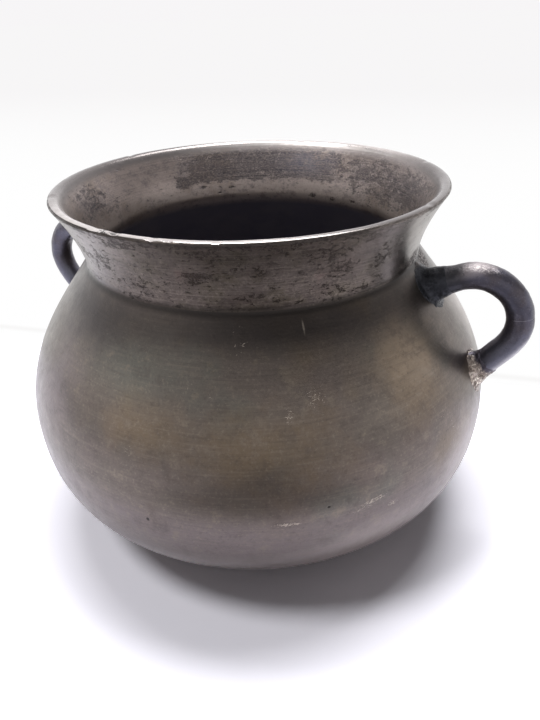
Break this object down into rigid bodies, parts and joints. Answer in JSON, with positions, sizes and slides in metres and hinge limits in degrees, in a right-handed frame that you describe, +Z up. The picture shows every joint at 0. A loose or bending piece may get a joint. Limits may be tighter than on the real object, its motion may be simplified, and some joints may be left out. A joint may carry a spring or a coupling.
{
  "type": "cooking pot",
  "caption": "Round-bellied bronze cooking pot with a narrow neck, a tall flared collar and a bent bar handle brazed to each side.",
  "frame": {"origin": "middle of the flat base, on the surface that the pot stands on", "axes": "+Z up along the pot's axis, +X through the two handles"},
  "size_m": [0.322, 0.2836, 0.206],
  "materials": {
    "pot_bronze": "old cast bronze with a dull brown-grey patina, scraped paler on the collar and lip",
    "handle_iron": "dark iron, smooth with handling, with a soft sheen",
    "braze_spelter": "rough yellow-grey braze, pitted and a little green"
  },
  "bodies": {
    "root": {"pot_body": "pot_bronze", "handle_right": "handle_iron", "handle_left": "handle_iron", "braze_upper_right": "braze_spelter", "braze_lower_right": "braze_spelter", "braze_upper_left": "braze_spelter", "braze_lower_left": "braze_spelter"}
  },
  "joints": []
}
